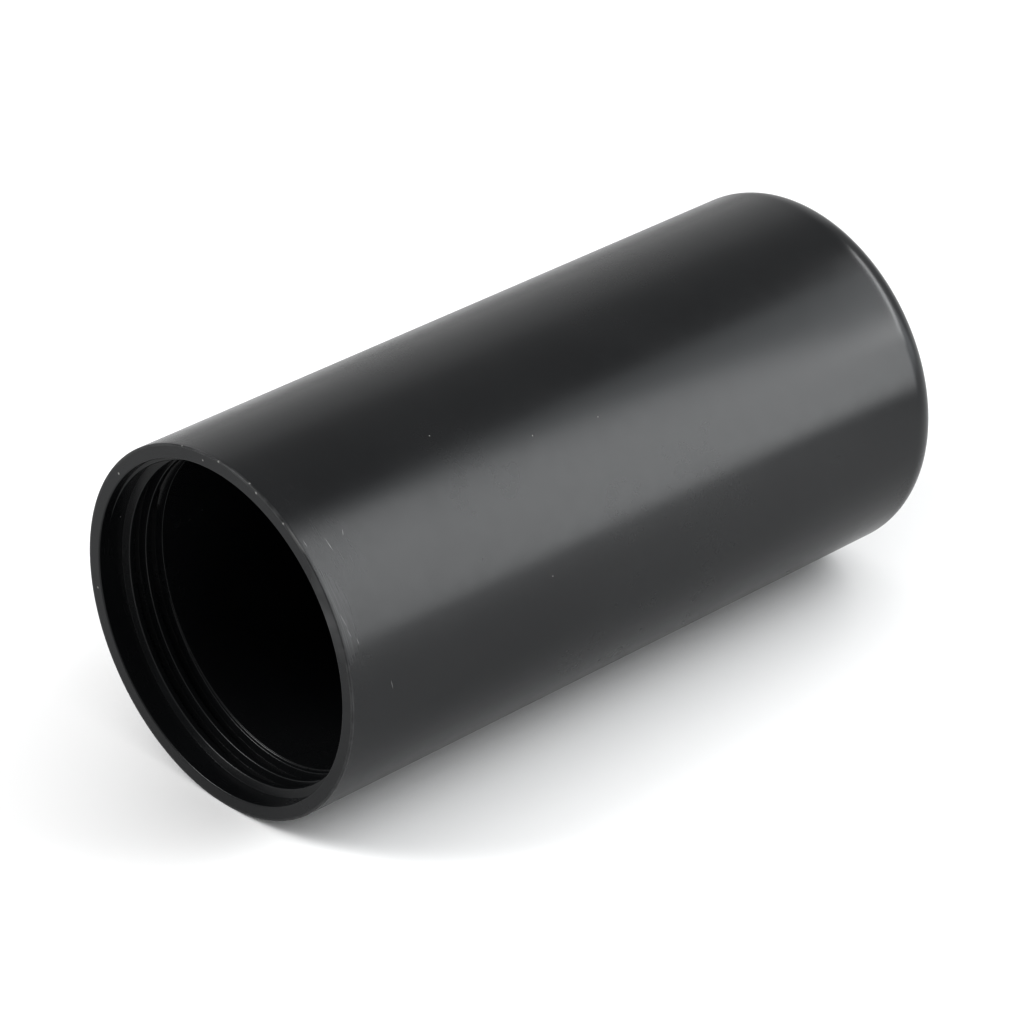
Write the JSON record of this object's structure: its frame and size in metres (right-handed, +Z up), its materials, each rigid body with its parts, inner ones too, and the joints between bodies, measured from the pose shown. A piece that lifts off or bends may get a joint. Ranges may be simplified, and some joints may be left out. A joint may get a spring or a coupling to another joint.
{
  "type": "screw-on case cover",
  "caption": "Round plastic case cover: straight barrel with a closed rounded end and a coarse internal screw thread at its open end.",
  "frame": {"origin": "centre of the rim face, on the axis of the thread", "axes": "+Y along the barrel from the open mouth to the closed end, +Z up with the cover lying on its side"},
  "size_m": [0.056, 0.116, 0.056],
  "materials": {
    "black_plastic": "satin black moulded plastic, lightly scuffed behind the rim"
  },
  "bodies": {
    "root": {"case_cover": "black_plastic"}
  },
  "joints": []
}
